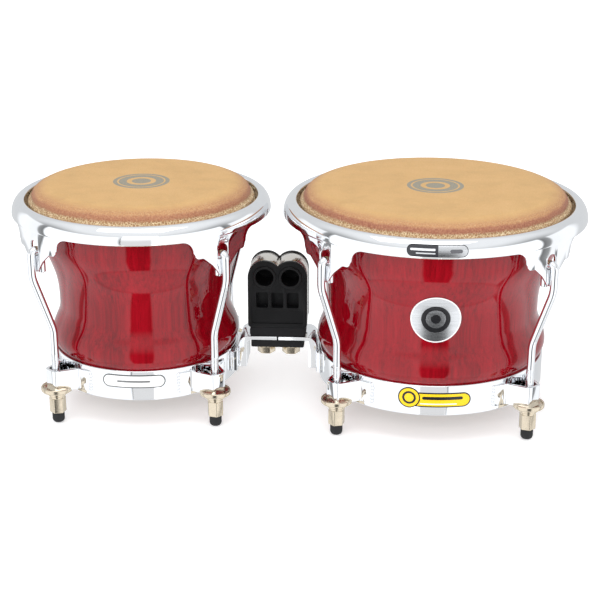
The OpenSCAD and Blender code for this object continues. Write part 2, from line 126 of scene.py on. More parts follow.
class Finishes(PropertyGroup):
    lacquer: colour("Lacquer", "Stained wood under the clear lacquer", (0.235, 0.001, 0.006))
    hide: colour("Hide", "The skins' playing faces", (0.63, 0.385, 0.16))
    chrome: colour("Chrome", "Plated rims, hoops and rods", (0.90, 0.91, 0.93))
    nickel: colour("Nickel", "Washers, nuts and bolts", (0.74, 0.64, 0.50))


# ---------------------------------------------------------------- shapes, in millimetres

def arc(cx, cy, r, a0, a1, n, ry=None):
    """Points on a circle or ellipse from angle a0 to a1, in degrees."""
    ry = r if ry is None else ry
    steps = [radians(a0 + (a1 - a0) * i / n) for i in range(n + 1)]
    return [(cx + r * cos(a), cy + ry * sin(a)) for a in steps]


def rounded(points, radius, n=5, closed=False):
    """A path with its corners rounded."""
    out = []
    count = len(points)
    for i, p in enumerate(points):
        if not closed and i in (0, count - 1):
            out.append(p)
            continue
        here = Vector(p)
        back = Vector(points[i - 1]) - here
        on = Vector(points[(i + 1) % count]) - here
        half = back.angle(on) / 2
        r = radius[i] if isinstance(radius, (list, tuple)) else radius
        reach = min(r / tan(half), 0.45 * back.length, 0.45 * on.length)
        if reach < 1e-4 or half > 1.565:
            out.append(p)
            continue
        r = reach * tan(half)
        centre = here + (back.normalized() + on.normalized()).normalized() * (r / sin(half))
        start = here + back.normalized() * reach - centre
        end = here + on.normalized() * reach - centre
        a0 = atan2(start.y, start.x)
        turn = (atan2(end.y, end.x) - a0 + pi) % (2 * pi) - pi
        angles = [a0 + turn * k / n for k in range(n + 1)]
        out += [(centre.x + r * cos(a), centre.y + r * sin(a)) for a in angles]
    return out


def ribbon(path, thick):
    """The closed outline of a strip of even thickness along an open path."""
    left, right = [], []
    for i, p in enumerate(path):
        before = Vector(path[max(i - 1, 0)])
        after = Vector(path[min(i + 1, len(path) - 1)])
        along = (after - before).normalized()
        side = Vector((-along.y, along.x)) * thick / 2
        left.append((p[0] + side.x, p[1] + side.y))
        right.append((p[0] - side.x, p[1] - side.y))
    return left + right[::-1]


def wire(bm, points, closed, place):
    """Join points by edges, each point put in space by place."""
    verts = [bm.verts.new(place(p)) for p in points]
    pairs = list(zip(verts, verts[1:])) + ([(verts[-1], verts[0])] if closed else [])
    return verts, [bm.edges.new(pair) for pair in pairs]


def spun(profile, steps=192, closed=True):
    """A ring or solid of revolution about Z from points of radius and height."""
    bm = bmesh.new()
    verts, edges = wire(bm, profile, closed, lambda p: (p[0], 0, p[1]))
    bmesh.ops.spin(bm, geom=verts + edges, cent=(0, 0, 0), axis=(0, 0, 1), dvec=(0, 0, 0),
                   angle=2 * pi, steps=steps, use_merge=True, use_duplicate=False)
    bmesh.ops.remove_doubles(bm, verts=bm.verts, dist=1e-4)
    return bm


def soften(bm, width, segments=2, least=32):
    """Bevel the edges that turn by more than so many degrees."""
    edges = [e for e in bm.edges if len(e.link_faces) == 2 and e.calc_face_angle() > radians(least)]
    bmesh.ops.bevel(bm, geom=edges, offset=width, offset_type="OFFSET", segments=segments, profile=0.5,
                    affect="EDGES", material=-1, clamp_overlap=True)


def plate(outline, holes, depth, edge=0.4, segments=2, least=32):
    """A plate drawn in X and Y, with holes, standing on Z = 0, its edges softened."""
    bm = bmesh.new()
    edges = wire(bm, outline, True, lambda p: (p[0], p[1], 0))[1]
    for hole in holes:
        edges += wire(bm, hole, True, lambda p: (p[0], p[1], 0))[1]
    bmesh.ops.triangle_fill(bm, use_beauty=True, use_dissolve=False, edges=edges)
    bmesh.ops.dissolve_limit(bm, angle_limit=0.01, use_dissolve_boundaries=False, verts=bm.verts, edges=bm.edges)
    lifted = bmesh.ops.extrude_face_region(bm, geom=bm.faces[:], use_keep_orig=True)["geom"]
    bmesh.ops.translate(bm, verts=[v for v in lifted if isinstance(v, bmesh.types.BMVert)], vec=(0, 0, depth))
    bmesh.ops.recalc_face_normals(bm, faces=bm.faces)
    if edge:
        soften(bm, edge, segments, least)
    return bm


def joined(*parts):
    """One bmesh that holds several."""
    whole = parts[0]
    for part in parts[1:]:
        mesh = bpy.data.meshes.new("part")
        part.to_mesh(mesh)
        part.free()
        whole.from_mesh(mesh)
        bpy.data.meshes.remove(mesh)
    return whole


def moved(bm, matrix):
    bmesh.ops.transform(bm, matrix=matrix, verts=bm.verts)
    return bm


def shifted(bm, x, y, z):
    return moved(bm, Matrix.Translation((x, y, z)))


def copy_of(bm, matrix):
    return moved(bm.copy(), matrix)


UPRIGHT = Matrix.Rotation(radians(90), 4, "X")


def standing(bm, depth, x=0.0):
    """Turn a plate drawn in X and Y up into X and Z, centred on Y."""
    return moved(bm, Matrix.Translation((x, depth / 2, 0)) @ UPRIGHT)


def piece(bm, name, body, materials, replaces=(), smooth=32):
    """Make the finished object: metres, shaded, riding on its body if it has just one."""
    bmesh.ops.scale(bm, vec=(MM, MM, MM), verts=bm.verts)
    bmesh.ops.remove_doubles(bm, verts=bm.verts, dist=2e-7)
    bmesh.ops.recalc_face_normals(bm, faces=bm.faces)
    mesh = bpy.data.meshes.new(name)
    bm.to_mesh(mesh)
    bm.free()
    for p in mesh.polygons:
        p.use_smooth = True
    mesh.set_sharp_from_angle(angle=radians(smooth))
    for m in materials:
        mesh.materials.append(m)
    obj = bpy.data.objects.new(name, mesh)
    bpy.context.scene.collection.objects.link(obj)
    if body:
        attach(obj, body)
    if replaces:
        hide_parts(*replaces)
    return obj


def finish_node(name, material):
    """Give a CAD part that stays in view its material."""
    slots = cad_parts[name].data.materials
    slots.clear()
    slots.append(material)


# ---------------------------------------------------------------- materials

class Nodes:
    """A short way to write a node material."""

    def __init__(self, name):
        self.material = bpy.data.materials.new(name)
        self.material.use_nodes = True
        self.tree = self.material.node_tree
        self.shader = self.tree.nodes["Principled BSDF"]
        self.place = self.tree.nodes.new("ShaderNodeTexCoord").outputs["Object"]

    @classmethod
    def on(cls, tree):
        """The same short way on a node tree that isn't a material's."""
        nodes = cls.__new__(cls)
        nodes.tree = tree
        return nodes

    def set(self, **values):
        for name, value in values.items():
            self.feed(self.shader.inputs[name.replace("_", " ")], value)

    def feed(self, socket, value):
        if isinstance(value, bpy.types.NodeSocket):
            self.tree.links.new(value, socket)
        elif socket.type == "RGBA" and len(value) == 3:
            socket.default_value = (*value, 1.0)
        else:
            socket.default_value = value

    def link(self, name, value):
        self.tree.links.new(value, self.shader.inputs[name])

    def mapped(self, scale):
        """Object coordinates, stretched by a scale on each axis."""
        node = self.tree.nodes.new("ShaderNodeMapping")
        node.inputs["Scale"].default_value = scale
        self.feed(node.inputs["Vector"], self.place)
        return node.outputs[0]

    def noise(self, vector, scale=1.0, detail=4.0, rough=0.55, distortion=0.0):
        node = self.tree.nodes.new("ShaderNodeTexNoise")
        self.feed(node.inputs["Vector"], vector)
        node.inputs["Scale"].default_value = scale
        node.inputs["Detail"].default_value = detail
        node.inputs["Roughness"].default_value = rough
        node.inputs["Distortion"].default_value = distortion
        return node.outputs["Fac"]

    def cells(self, vector, scale):
        """Distance to the nearest cell wall."""
        node = self.tree.nodes.new("ShaderNodeTexVoronoi")
        node.feature = "DISTANCE_TO_EDGE"
        self.feed(node.inputs["Vector"], vector)
        node.inputs["Scale"].default_value = scale
        return node.outputs["Distance"]

    def ramp(self, value, *stops):
        node = self.tree.nodes.new("ShaderNodeValToRGB")
        self.feed(node.inputs[0], value)
        points = node.color_ramp.elements
        while len(points) < len(stops):
            points.new(0.5)
        for point, (position, tint) in zip(points, stops):
            point.position = position
            point.color = (*tint, 1.0)
        return node.outputs[0]

    def span(self, value, a, b, to_a=0.0, to_b=1.0, turn="LINEAR"):
        """One range mapped to another, and held beyond its ends."""
        node = self.tree.nodes.new("ShaderNodeMapRange")
        node.interpolation_type = turn
        for name, v in (("Value", value), ("From Min", a), ("From Max", b), ("To Min", to_a), ("To Max", to_b)):
            self.feed(node.inputs[name], v)
        return node.outputs[0]

    def soft(self, value, a, b):
        """0 at a, 1 at b, with a smooth turn between."""
        return self.span(value, a, b, turn="SMOOTHSTEP")

    def math(self, what, a, b=0.0):
        node = self.tree.nodes.new("ShaderNodeMath")
        node.operation = what
        for socket, v in zip(node.inputs, (a, b)):
            self.feed(socket, v)
        return node.outputs[0]

    def times(self, first, *others):
        for other in others:
            first = self.math("MULTIPLY", first, other)
        return first

    def rest(self, share):
        """What a share between 0 and 1 leaves."""
        return self.math("SUBTRACT", 1.0, share)

    def either(self, share, off, on):
        """Off where the share is 0, on where it is 1."""
        return self.math("ADD", self.times(off, self.rest(share)), self.times(on, share))

    def between(self, value, low, high):
        """1 between two millimetre marks, 0 outside."""
        above, below = self.math("GREATER_THAN", value, low * MM), self.math("LESS_THAN", value, high * MM)
        return self.times(above, below)

    def length_of(self, a, b):
        return self.math("SQRT", self.math("ADD", self.times(a, a), self.times(b, b)))

    def apart(self, a, b):
        return self.math("ABSOLUTE", self.math("SUBTRACT", a, b))

    def mix(self, share, a, b):
        node = self.tree.nodes.new("ShaderNodeMix")
        node.data_type = "RGBA"
        for place, value in ((0, share), (6, a), (7, b)):
            self.feed(node.inputs[place], value)
        return node.outputs[2]

    def axes(self):
        node = self.tree.nodes.new("ShaderNodeSeparateXYZ")
        self.feed(node.inputs[0], self.place)
        return node.outputs

    def bump(self, height, depth, strength=1.0):
        node = self.tree.nodes.new("ShaderNodeBump")
        node.inputs["Strength"].default_value = strength
        node.inputs["Distance"].default_value = depth
        self.feed(node.inputs["Height"], height)
        self.link("Normal", node.outputs[0])

    def radius(self, x):
        """Distance from the upright line at x, in metres."""
        sx, sy, _ = self.axes()
        return self.length_of(self.math("SUBTRACT", sx, x), sy)

    def inside_pill(self, x, z, width, height):
        """1 inside a round-ended bar seen from the front, 0 outside; sizes in millimetres."""
        sx, _, sz = self.axes()
        reach = max(width - height, 0) / 2 * MM
        dx = self.math("MAXIMUM", self.math("SUBTRACT", self.apart(sx, x * MM), reach), 0.0)
        dz = self.math("SUBTRACT", sz, z * MM)
        return self.math("LESS_THAN", self.length_of(dx, dz), height / 2 * MM)

    def inside_ring(self, x, z, outer, inner):
        """1 between two circles of these diameters."""
        return self.math("SUBTRACT", self.inside_pill(x, z, outer, outer), self.inside_pill(x, z, inner, inner))

    def inside_box(self, x, z, width, height):
        sx, _, sz = self.axes()
        in_x = self.math("LESS_THAN", self.apart(sx, x * MM), width / 2 * MM)
        in_z = self.math("LESS_THAN", self.apart(sz, z * MM), height / 2 * MM)
        return self.times(in_x, in_z)


def lacquered_wood(tint):
    """Stained wood with an upright grain under a clear gloss coat."""
    m = Nodes("red_lacquered_wood")
    red, green, blue = tint
    broad = m.noise(m.mapped((34, 34, 3.0)), 1.0, 3, 0.5)
    grain = m.noise(m.mapped((420, 420, 9.0)), 1.0, 6, 0.65, 0.3)
    pores = m.noise(m.mapped((1500, 1500, 32)), 1.0, 3, 0.5)
    figure = m.math("ADD", m.times(broad, 0.45), m.times(grain, 0.55))
    dark, light = [c * 0.42 for c in tint], (red * 1.45, green * 3, blue * 1.9)
    base = m.ramp(figure, (0.30, dark), (0.50, tint), (0.72, light))
    m.link("Base Color", m.mix(m.span(pores, 0.60, 0.74, 0.0, 0.55), base, (red * 0.22, 0.0, 0.002)))
    m.link("Roughness", m.span(grain, 0.3, 0.7, 0.30, 0.42))
    m.set(Coat_Weight=1.0, Coat_Roughness=0.02, Coat_IOR=1.50, Specular_IOR_Level=0.0)
    m.bump(m.math("SUBTRACT", grain, m.times(pores, 0.5)), 0.00012, 0.35)
    return m.material


def bare_wood():
    m = Nodes("bare_wood")
    grain = m.noise(m.mapped((260, 260, 7.0)), 1.0, 5, 0.6, 0.4)
    tone = m.ramp(grain, (0.3, (0.17, 0.085, 0.035)), (0.55, (0.34, 0.20, 0.10)), (0.75, (0.46, 0.30, 0.16)))
    m.link("Base Color", tone)
    m.link("Roughness", m.span(grain, 0.3, 0.7, 0.55, 0.75))
    m.bump(grain, 0.0003, 0.5)
    return m.material


def hide(name, tint, x, roundel_r, wrap_z, reddening):
    """Hide: mottled face, reddish felted band on the slope, golden fibrous wrap below it."""
    m = Nodes(name)
    red, green, blue = tint
    _, _, height = m.axes()
    cloud = m.noise(m.mapped((42, 42, 42)), 1.0, 6, 0.7)
    fine = m.noise(m.mapped((900, 900, 900)), 1.0, 3, 0.6)
    fibre = m.cells(m.mapped((520, 520, 300)), 1.0)
    flecks = m.span(m.noise(m.mapped((1300, 1300, 700)), 1.0, 2, 0.5), 0.60, 0.68)
    light = (min(red * 1.06, 1), green * 1.07, blue * 1.12)
    face = m.ramp(cloud, (0.30, [c * 0.90 for c in tint]), (0.52, tint), (0.75, light))
    face = m.mix(m.span(fine, 0.35, 0.75, 0.0, 0.25), face, (red * 0.62, green * 0.55, blue * 0.50))
    wobble = m.times(m.math("SUBTRACT", cloud, 0.5), 0.004)
    level = m.math("ADD", height, wobble)

    def below(z, low, high):
        """1 under one height and 0 over the other, both counted down from the face."""
        return m.span(z, (HEAD_TOP - low) * MM, (HEAD_TOP - high) * MM, 1.0, 0.0)

    crack = m.span(fibre, 0.0, 0.085, 1.0, 0.0)
    slope = m.mix(m.span(fine, 0.35, 0.7), (0.40, 0.195, 0.085), (0.54, 0.29, 0.135))
    pink = m.mix(m.span(fine, 0.4, 0.65), (0.25, 0.075, 0.050), (0.38, 0.165, 0.10))
    golden = m.mix(m.span(fine, 0.35, 0.7), (0.27, 0.145, 0.065), (0.44, 0.26, 0.125))
    golden = m.mix(m.times(m.math("MAXIMUM", flecks, crack), 0.9), golden, (0.88, 0.74, 0.48))
    in_pink = m.times(below(level, 5.2, 3.4), reddening)
    on_slope = below(m.math("ADD", height, m.times(wobble, 0.25)), 2.6, 0.35)
    on_wrap = m.span(level, (wrap_z - 0.9) * MM, (wrap_z + 0.9) * MM, 1.0, 0.0)
    tone = m.mix(on_slope, face, m.mix(m.times(crack, 0.25), slope, (0.86, 0.66, 0.40)))
    tone = m.mix(in_pink, tone, pink)
    tone = m.mix(on_wrap, tone, golden)

    away = m.radius(x * MM)
    on_face = m.math("GREATER_THAN", height, (HEAD_TOP - 1) * MM)
    roundel = m.times(m.math("LESS_THAN", away, roundel_r * MM), on_face)
    gap = m.between(away, roundel_r * 0.80, roundel_r * 0.86)
    core = m.between(away, roundel_r * 0.34, roundel_r * 0.52)
    ink = m.times(roundel, m.rest(m.math("MAXIMUM", gap, core)), m.span(fine, 0.30, 0.60, 0.70, 0.95))
    m.link("Base Color", m.mix(ink, tone, (0.24, 0.245, 0.21)))
    m.link("Roughness", m.span(fine, 0.3, 0.7, 0.52, 0.72))
    coarse = m.times(fibre, m.math("MAXIMUM", on_slope, on_wrap), 1.6)
    m.bump(m.math("ADD", m.times(fine, 0.35), coarse), 0.0005, 0.55)
    m.set(Subsurface_Weight=0.04, Subsurface_Radius=(0.004, 0.002, 0.001), Specular_IOR_Level=0.35)
    return m.material


def plated(name, tint, rough_low, rough_high, scale=90.0):
    """Plated metal with a faint smear and a slow ripple."""
    m = Nodes(name)
    smear = m.noise(m.mapped((scale, scale, scale)), 1.0, 4, 0.6)
    m.link("Roughness", m.span(smear, 0.3, 0.7, rough_low, rough_high))
    m.link("Base Color", m.mix(m.span(smear, 0.35, 0.7, 0.0, 0.5), tint, [c * 0.95 for c in tint]))
    m.bump(m.noise(m.mapped((26, 26, 26)), 1.0, 1, 0.4), 0.0002, 0.06)
    m.set(Metallic=1.0)
    return m.material


def moulded(name, tint, rough_low, rough_high, grain, depth=0.00008):
    """Moulded plastic, rubber or waxed thread with a fine surface grain."""
    m = Nodes(name)
    fine = m.noise(m.mapped((grain, grain, grain)), 1.0, 3, 0.6)
    broad = m.noise(m.mapped((60, 60, 60)), 1.0, 3, 0.6)
    m.link("Base Color", m.mix(m.span(broad, 0.35, 0.7), tint, [c * 1.5 for c in tint]))
    m.link("Roughness", m.span(broad, 0.3, 0.7, rough_low, rough_high))
    m.bump(fine, depth, 0.4)
    m.set(Specular_IOR_Level=0.32)
    return m.material


def badge_face(name, marks, ground, metallic, rough):
    """A printed plate: plain marks over a ground, each mark a mask and an ink."""
    m = Nodes(name)
    brushed = m.noise(m.mapped((30, 30, 2200)), 1.0, 2, 0.5)
    tone = m.mix(m.span(brushed, 0.35, 0.65, 0.0, 0.35), ground, [c * 0.78 for c in ground])
    metal = metallic
    for mask, ink in marks(m):
        tone = m.mix(mask, tone, ink)
        if metallic:
            metal = m.times(metal, m.rest(mask))
    m.link("Base Color", tone)
    if metallic:
        m.link("Metallic", metal)
    m.link("Roughness", m.span(brushed, 0.3, 0.7, *rough))
    return m.material


BLACK = (0.012, 0.012, 0.014)


def shell_badge_marks(m):
    x, z = LARGE_DEFAULTS["axis_x"], 101.3
    return [
        (m.inside_ring(x, z, 22, 15), BLACK),
        (m.inside_pill(x, z, 7.5, 7.5), BLACK),
        (m.inside_ring(x, z, 38.6, 36.2), (0.80, 0.80, 0.80)),
    ]


def rim_badge_marks(m):
    x, z = LARGE_DEFAULTS["axis_x"] - 2, 165.0
    field = m.inside_pill(x, z, 43.0, 7.7)
    return [
        (m.rest(field), BLACK),
        (m.times(field, m.inside_box(x - 11.5, z, 24, 9)), (0.03, 0.03, 0.035)),
        (m.inside_pill(x - 10.5, z + 0.9, 18, 1.5), (0.70, 0.71, 0.73)),
        (m.inside_pill(x - 8.5, z - 1.7, 14, 0.9), (0.55, 0.56, 0.58)),
        (m.inside_pill(x + 13.5, z, 9.0, 2.6), (0.10, 0.10, 0.11)),
    ]


def large_label_marks(m):
    x = LARGE_DEFAULTS["axis_x"]
    disc_x, disc_z = x - 18.4, 38.6
    disc, disc_in = m.inside_pill(disc_x, disc_z, 16.9, 16.9), m.inside_pill(disc_x, disc_z, 14.9, 14.9)
    bar_in = m.inside_pill(x + 1, 37.4, 53.2, 9.8)
    yellow = m.math("MAXIMUM", disc_in, m.times(bar_in, m.rest(disc)))
    return [
        (m.rest(yellow), BLACK),
        (m.inside_pill(x + 7, 38.9, 31, 2.6), BLACK),
        (m.inside_pill(x + 4, 34.2, 28, 1.0), (0.75, 0.74, 0.70)),
        (m.inside_ring(disc_x, disc_z, 10.4, 7.0), BLACK),
    ]


def small_label_marks(m):
    x, z = SMALL_DEFAULTS["axis_x"] + 0.5, 40.4
    return [
        (m.rest(m.inside_pill(x, z, 47.4, 9.0)), (0.08, 0.085, 0.09)),
        (m.inside_pill(x, z, 26, 1.5), (0.16, 0.165, 0.17)),
    ]


# ---------------------------------------------------------------- the drums' own sizes

class Drum:
    """The sizes of one drum that its pieces share, in millimetres."""

    # rim: the rolled top, its sheet, the heights of the cut-outs and of the ears' slots
    roll_w, roll_h, sheet = 8.2, 12.0, 2.2
    cut_z, shoulder_z = 158.8, 144.5
    slot_top, slot_bottom, slot_w = 153.0, 141.6, 9.4
    # shell: its wall and the heights where its curve turns
    wall, belly_z, waist_z, collar_z, flare_top = 9.0, 59.0, 84.0, 142.0, 158.0
    # lug loops, and the bends of the tuning hooks
    lug_top, lug_bottom = 45.1, 28.6
    bend_r, elbow_r = 4.5, 26.0

    def __init__(self, name):
        sizes = getattr(bpy.context.scene, name + "_drum")
        self.name = name
        self.x, self.rim_r, self.hoop_r = (size / MM for size in (sizes.axis_x, sizes.rim_r, sizes.hoop_r))
        self.skirt_r = self.rim_r - 1.2
        self.head_r = self.rim_r - 13.2
        self.skin_r = self.head_r - 2.3
        self.shell_top_r = self.skin_r - 1.6
        self.foot_r = self.hoop_r + 14
        self.hook_r = self.skirt_r - self.sheet / 2 + self.bend_r
        self.place = Matrix.Translation((self.x, 0, 0))

    @staticmethod
    def quarter(i):
        """The turn from +X to lug i."""
        return Matrix.Rotation(radians(135 + 90 * i), 4, "Z")

    def lug(self, i):
        """Where a piece drawn along +X from the drum's axis goes for lug i."""
        return self.place @ self.quarter(i)

    def shell_r(self, z):
        """The shell's outer radius: straight seat under the hoop, belly, waist, collar and flare."""
        seat = self.hoop_r - 2.25
        belly, waist, collar = self.hoop_r + 1.2, self.hoop_r - 5.8, self.shell_top_r - 5
        if z <= HOOP_TOP:
            return seat
        if z <= self.belly_z:
            return seat + (belly - seat) * sin(pi / 2 * (z - HOOP_TOP) / (self.belly_z - HOOP_TOP))
        if z <= self.waist_z:
            t = (z - self.belly_z) / (self.waist_z - self.belly_z)
            return belly + (waist - belly) * (1 - cos(pi * t)) / 2
        if z <= self.collar_z:
            t = ((z - self.waist_z) / (self.collar_z - self.waist_z)) ** 1.5
            return waist + (collar - waist) * (1 - cos(pi * t)) / 2
        return collar + 0.12 * (z - self.collar_z)


def shell_mesh(drum):
    """Waisted wall with a wide mouth and a bevelled bearing edge; its bare inside takes the second material."""
    bottom, mouth, edge, top = 26.0, 164.6, 169.6, HEAD_TOP - 2.2
    crest_r, bearing = drum.shell_top_r, drum.shell_top_r - 11.5
    rise, drop = drum.flare_top - bottom, drum.flare_top - 50
    outside = [(drum.shell_r(z), z) for z in (bottom + k * rise / 88 for k in range(89))]
    inside = [(drum.shell_r(z) - drum.wall, z) for z in (drum.flare_top - k * drop / 30 for k in range(31))]
    crest = [(crest_r, mouth), (crest_r, edge), (bearing + 2.4, top - 0.6), (bearing + 0.6, top),
             (bearing - 0.6, top - 0.6), (bearing - 1, mouth - 1)]
    bm = spun(outside + crest + inside + [(drum.hoop_r - drum.wall - 2.25, bottom)], 256)
    bmesh.ops.recalc_face_normals(bm, faces=bm.faces)
    for f in bm.faces:
        middle = f.calc_center_median()
        if f.normal.dot(Vector((middle.x, middle.y, 0))) < -0.1 * middle.length:
            f.material_index = 1
    return moved(bm, drum.place)


def head_mesh(drum):
    """The wrapped head: flat face, rounded shoulder, rolled edge and the flesh hoop under the rim's lip."""
    top, out, head_r = HEAD_TOP, drum.skin_r, drum.head_r
    under, lip, base = top - 1.5, 162.05, 156.8

    def stepped(*steps):
        """Points by how far they lie inside the skin's radius and below its face."""
        return [(out - inward, top - down) for inward, down in steps]

    face = [(0, top), (out * 0.5, top), (out - 19, top)]
    shoulder = stepped((17, 0.06), (15, 0.22), (13, 0.46), (10.8, 0.85), (8.6, 1.4), (6.6, 2.1), (4.6, 3.05),
                       (3, 4.15), (1.8, 5.4), (1, 6.7), (0.4, 8.2), (0.2, 9.0))
    if drum.name == "large":
        roll = arc(head_r - 2.9, top - 12.3, 2.9, 78, -40, 9) + arc(head_r - 2.4, top - 16.5, 2.2, 50, -30, 5)
    else:
        roll = arc(head_r - 2.6, top - 12.4, 2.6, 72, -20, 8)
        roll += [(head_r - 0.2, top - 14.6), (head_r - 0.3, top - 16.4)]
    skirt = [(head_r - 0.4, lip), (head_r + 6.2, lip), (head_r + 6.5, lip - 0.4), (head_r + 6.5, base + 0.6),
             (head_r + 5.9, base), (head_r - 3.2, base), (out - 1.5, base + 0.8)]
    inner = stepped((1.5, 10.2), (2, 8.4), (3.1, 6.4), (5.6, 4.3), (9.2, 2.8), (13.2, 1.9))
    inner += [(out - 17, under), (out * 0.5, under), (0, under)]
    return moved(spun(face + shoulder + roll + skirt + inner, 256, closed=False), drum.place)


def stitches_mesh(drum, count=150):
    """Whip stitches that lean along the small head's lower edge."""
    stitch = bmesh.new()
    bmesh.ops.create_uvsphere(stitch, u_segments=8, v_segments=6, radius=1.0)
    bmesh.ops.scale(stitch, vec=(0.42, 1.9, 0.36), verts=stitch.verts)
    moved(stitch, Matrix.Rotation(radians(34), 4, "X"))
    parts = []
    for k in range(count):
        rise = 0.45 * sin(k * 2.4) + 0.25 * sin(k * 0.9)
        turn = Matrix.Rotation(2 * pi * k / count, 4, "Z")
        at = Matrix.Translation((drum.head_r - 0.15, 0, HEAD_TOP - 15.6 + rise))
        parts.append(copy_of(stitch, drum.place @ turn @ at))
    stitch.free()
    return joined(*parts)


def rim_roll_profile(drum):
    """Section of the rolled top: over from the skirt, then down inside as the lip that presses the head."""
    roll_x, roll_z, start_z = drum.rim_r - drum.roll_w, RIM_TOP - drum.roll_h, drum.cut_z + 0.9
    lip, lip_low = 2.6, 162.2
    lip_x = roll_x - lip
    outer = [(drum.skirt_r - 0.02, start_z), (drum.rim_r - 0.05, roll_z - 0.2)]
    outer += arc(roll_x, roll_z, drum.roll_w, 0, 90, 22, drum.roll_h)
    outer += arc(roll_x, RIM_TOP - lip, lip, 90, 180, 8)[1:]
    foot = [(lip_x, lip_low + 0.3), (lip_x + 0.3, lip_low), (lip_x + 1.9, lip_low), (lip_x + 2.2, lip_low + 0.3)]
    inner = [(lip_x + drum.sheet, RIM_TOP - lip)]
    inner += arc(roll_x, roll_z, drum.roll_w - drum.sheet, 88, 0, 10, drum.roll_h - drum.sheet)
    return outer + foot + inner + [(drum.skirt_r - drum.sheet + 0.02, start_z)]


def ear_outline(half_width, top_z, drum):
    """One quarter of the skirt laid flat: a straight cut each side of a slotted ear."""
    side_x, corner = 25.5, 9.0
    half = [(half_width, top_z), (half_width, drum.cut_z)]
    half += arc(side_x + corner, drum.cut_z - corner, corner, 90, 180, 12)
    half += arc(side_x - 4.5, drum.shoulder_z + 3, 3, 0, -90, 7)
    half += arc(18.5, drum.shoulder_z - 3, 3, 90, 132, 4)
    half += [(9.6, 137.8)] + arc(0, EAR_TIP + 4.8, 4.8, -15, -90, 7)
    return half + [(-u, z) for u, z in half[-2::-1]]


def ear_mesh(drum):
    """The skirt's four quarters: cut flat, then bent round the drum, each with its slotted ear."""
    quarter = pi / 2 * drum.skirt_r
    r, high, low = drum.slot_w / 2, drum.slot_top - drum.slot_w / 2, drum.slot_bottom
    slot = arc(0, high, r, 180, 0, 14) + rounded([(r, high), (r, low), (-r, low), (-r, high)], 0.8, 3)[1:-1]
    bm = plate(ear_outline(quarter / 2, drum.cut_z + 1.5, drum), [slot], drum.sheet, 0.45, 2, 40)
    cuts = 56
    for k in range(1, cuts):
        bmesh.ops.bisect_plane(bm, geom=bm.verts[:] + bm.edges[:] + bm.faces[:], dist=1e-5,
                               plane_co=(quarter * (k / cuts - 0.5), 0, 0), plane_no=(1, 0, 0))
    for v in bm.verts:
        u, z, deep = v.co
        turn, bent_r = u / drum.skirt_r, drum.skirt_r - drum.sheet + deep
        v.co = (bent_r * cos(turn), bent_r * sin(turn), z)
    quarters = [copy_of(bm, drum.lug(i)) for i in range(1, 5)]
    bm.free()
    return joined(*quarters)


def rod_mesh(drum, rod_r):
    """A tuning hook drawn along +X: threaded foot, outward lean, and the bend over the ear's bar."""
    x0, x1 = drum.foot_r, drum.hook_r
    foot_z, low_z, high_z, inner_leg, chamfer = 2.6, 78.0, 124.0, 13.4, 0.6
    lean = atan2(x1 - x0, high_z - low_z)
    cut = drum.elbow_r * tan(lean / 2)
    clear = drum.bend_r - rod_r - 0.02
    bend_z = drum.slot_bottom - sqrt(clear ** 2 - (drum.sheet / 2) ** 2) + 0.05
    bm = bmesh.new()
    ring = bmesh.ops.create_circle(bm, cap_ends=True, segments=28, radius=rod_r)["verts"]
    bmesh.ops.translate(bm, verts=ring, vec=(x0, 0, foot_z))
    last = [e for e in bm.edges if all(v in ring for v in e.verts)]

    def straight(edges, vec):
        got = bmesh.ops.extrude_edge_only(bm, edges=edges)["geom"]
        bmesh.ops.translate(bm, verts=[g for g in got if isinstance(g, bmesh.types.BMVert)], vec=vec)
        return [g for g in got if isinstance(g, bmesh.types.BMEdge)]

    def elbow(edges, cx, cz, turn, steps):
        verts = list({v for e in edges for v in e.verts})
        got = bmesh.ops.spin(bm, geom=verts + edges, cent=(cx, 0, cz), axis=(0, 1, 0), dvec=(0, 0, 0),
                             angle=turn, steps=steps, use_merge=False, use_duplicate=False)["geom_last"]
        return [g for g in got if isinstance(g, bmesh.types.BMEdge)]

    last = straight(last, (0, 0, low_z - cut - foot_z))
    last = elbow(last, x0 + drum.elbow_r, low_z - cut, lean, 8)
    run = (high_z - low_z) / cos(lean) - 2 * cut
    last = straight(last, (run * sin(lean), 0, run * cos(lean)))
    last = elbow(last, x1 - drum.elbow_r, high_z + cut, -lean, 8)
    last = straight(last, (0, 0, bend_z - high_z - cut))
    last = elbow(last, x1 - drum.bend_r, bend_z, -pi, 20)
    last = straight(last, (0, 0, -inner_leg))
    end = list({v for e in last for v in e.verts})
    middle = sum((v.co for v in end), Vector()) / len(end)
    last = straight(last, (0, 0, -chamfer))
    tip = list({v for e in last for v in e.verts})
    bmesh.ops.scale(bm, vec=(0.78, 0.78, 1), space=Matrix.Translation(-middle), verts=tip)
    bmesh.ops.contextual_create(bm, geom=last)
    return joined(bm, thread_mesh(x0, rod_r))


def thread_mesh(x, rod_r):
    """Screw ridges round the rod's lower end, one millimetre apart."""
    bottom, turns, steps = 8.0, 49, 18
    root, crest = rod_r - 0.15, rod_r + 0.2
    bm = bmesh.new()
    ridge = [(root, 0), (crest, 0.42), (crest, 0.58), (root, 1.0)]
    verts, edges = wire(bm, ridge, False, lambda p: (p[0], 0, p[1]))
    bmesh.ops.spin(bm, geom=verts + edges, cent=(0, 0, 0), axis=(0, 0, 1), dvec=(0, 0, 1 / steps),
                   angle=2 * pi * turns, steps=steps * turns, use_merge=False, use_duplicate=False)
    bmesh.ops.remove_doubles(bm, verts=bm.verts, dist=1e-3)
    return shifted(bm, x, 0, bottom)


